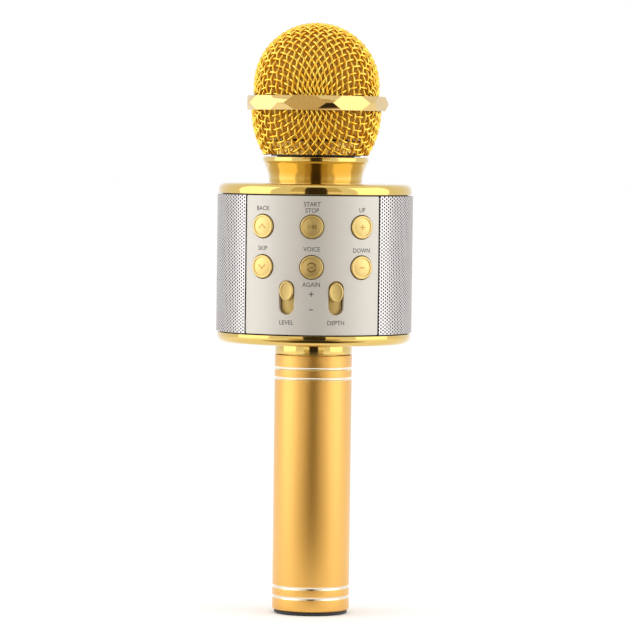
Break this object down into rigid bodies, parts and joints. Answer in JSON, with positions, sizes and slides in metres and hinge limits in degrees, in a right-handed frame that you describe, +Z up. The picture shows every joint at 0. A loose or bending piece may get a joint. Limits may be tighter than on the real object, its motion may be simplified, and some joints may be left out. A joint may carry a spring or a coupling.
{
  "type": "karaoke microphone",
  "caption": "Handheld karaoke microphone: slim gold handle, round speaker barrel with a control panel and side grilles, and a woven mesh head with a faceted band.",
  "frame": {"origin": "centre of the flat foot under the tail plug, which the microphone stands on", "axes": "+Z up along the handle, -Y out of the control panel, +X to the right as seen from the front"},
  "size_m": [0.081, 0.0822, 0.245],
  "materials": {
    "satin_gold": "gold anodised, fine blasted satin, with bright turned grooves",
    "polished_gold": "gold plated over plastic, mirror polish",
    "band_gold": "pale gold plating, mirror polish on flat facets",
    "button_gold": "gold plated over plastic, polished",
    "mesh_gold": "gold plated woven wire",
    "panel_silver": "satin silver paint with grey printed function words",
    "grille_silver": "bare perforated sheet with a soft sheen",
    "black_plastic": "fine moulded grain",
    "chassis_plastic": "moulded, matte",
    "circuit_board": "green solder mask",
    "steel": "plain plated steel",
    "screw_steel": "plated screws",
    "speaker_frame": "black painted pressed steel",
    "speaker_cone": "coated paper with a rubber surround",
    "magnet": "dark plated magnet pot",
    "battery_wrap": "shrink wrapped cell",
    "foam": "open cell foam",
    "rubber": "soft matte rubber",
    "light_lens": "clear light pipe"
  },
  "bodies": {
    "microphone": {"audio_jack": "black_plastic", "barrel_chassis": "chassis_plastic", "battery_carrier": "chassis_plastic", "battery_cell": "battery_wrap", "battery_lead": "rubber", "body_bottom_cap": "polished_gold", "body_top_cap": "polished_gold", "capsule_lead": "rubber", "capsule_mount": "rubber", "card_socket": "steel", "charging_port": "steel", "control_board": "circuit_board", "control_board_screw_1": "screw_steel", "control_board_screw_2": "screw_steel", "echo_slide_control": "steel", "front_panel": "panel_silver", "handle_collar": "polished_gold", "handle_tube": "satin_gold", "head_socket": "black_plastic", "left_grille": "grille_silver", "left_speaker_cone": "speaker_cone", "left_speaker_frame": "speaker_frame", "left_speaker_magnet": "magnet", "mic_capsule": "steel", "mic_replay_tact_switch": "steel", "mic_volume_slide_control": "steel", "neck_collar": "polished_gold", "next_tact_switch": "steel", "play_pause_tact_switch": "steel", "power_switch_body": "steel", "previous_tact_switch": "steel", "rear_board": "circuit_board", "rear_board_screw_1": "screw_steel", "rear_board_screw_2": "screw_steel", "rear_panel": "panel_silver", "right_grille": "grille_silver", "right_speaker_cone": "speaker_cone", "right_speaker_frame": "speaker_frame", "right_speaker_magnet": "magnet", "status_light": "light_lens", "tail_plug": "black_plastic", "volume_down_tact_switch": "steel", "volume_up_tact_switch": "steel"},
    "previous_button": {"previous_button": "button_gold"},
    "play_pause_button": {"play_pause_button": "button_gold"},
    "volume_up_button": {"volume_up_button": "button_gold"},
    "next_button": {"next_button": "button_gold"},
    "mic_replay_button": {"mic_replay_button": "button_gold"},
    "volume_down_button": {"volume_down_button": "button_gold"},
    "mic_volume_knob": {"mic_volume_knob": "button_gold"},
    "echo_knob": {"echo_knob": "button_gold"},
    "power_switch_knob": {"power_switch_knob": "black_plastic"},
    "head_ring": {"head_thread_ring": "steel"},
    "head": {"head_mesh_lower": "mesh_gold", "head_mesh_upper": "mesh_gold", "head_band": "band_gold", "foam_liner": "foam"}
  },
  "joints": [
    {"name": "previous_press", "type": "slide", "parent": "microphone", "child": "previous_button", "axis": [0.5, 0.866, 0], "range_m": [0, 0.0008], "stiffness_N_per_m": 600, "springref_m": -0.0008},
    {"name": "play_pause_press", "type": "slide", "parent": "microphone", "child": "play_pause_button", "axis": [0, 1, 0], "range_m": [0, 0.0008], "stiffness_N_per_m": 600, "springref_m": -0.0008},
    {"name": "volume_up_press", "type": "slide", "parent": "microphone", "child": "volume_up_button", "axis": [-0.5, 0.866, 0], "range_m": [0, 0.0008], "stiffness_N_per_m": 600, "springref_m": -0.0008},
    {"name": "next_press", "type": "slide", "parent": "microphone", "child": "next_button", "axis": [0.5, 0.866, 0], "range_m": [0, 0.0008], "stiffness_N_per_m": 600, "springref_m": -0.0008},
    {"name": "mic_replay_press", "type": "slide", "parent": "microphone", "child": "mic_replay_button", "axis": [0, 1, 0], "range_m": [0, 0.0008], "stiffness_N_per_m": 600, "springref_m": -0.0008},
    {"name": "volume_down_press", "type": "slide", "parent": "microphone", "child": "volume_down_button", "axis": [-0.5, 0.866, 0], "range_m": [0, 0.0008], "stiffness_N_per_m": 600, "springref_m": -0.0008},
    {"name": "mic_volume_slide", "type": "slide", "parent": "microphone", "child": "mic_volume_knob", "axis": [0, 0, -1], "range_m": [0, 0.0055]},
    {"name": "echo_slide", "type": "slide", "parent": "microphone", "child": "echo_knob", "axis": [0, 0, -1], "range_m": [-0.0005, 0.005]},
    {"name": "power_switch_slide", "type": "slide", "parent": "microphone", "child": "power_switch_knob", "axis": [0, 0, 1], "range_m": [0, 0.0026]},
    {"name": "head_lift", "type": "slide", "parent": "microphone", "child": "head_ring", "axis": [0, 0, 1], "range_m": [0, 0.0045]},
    {"name": "head_unscrew", "type": "hinge", "parent": "head_ring", "child": "head", "pos_m": [0, 0, 0.193], "axis": [0, 0, 1], "range_deg": [0, 1080]}
  ],
  "couplings": [
    {"joint": "head_unscrew", "follows": "head_lift", "rad_per_m": 4188.8}
  ]
}
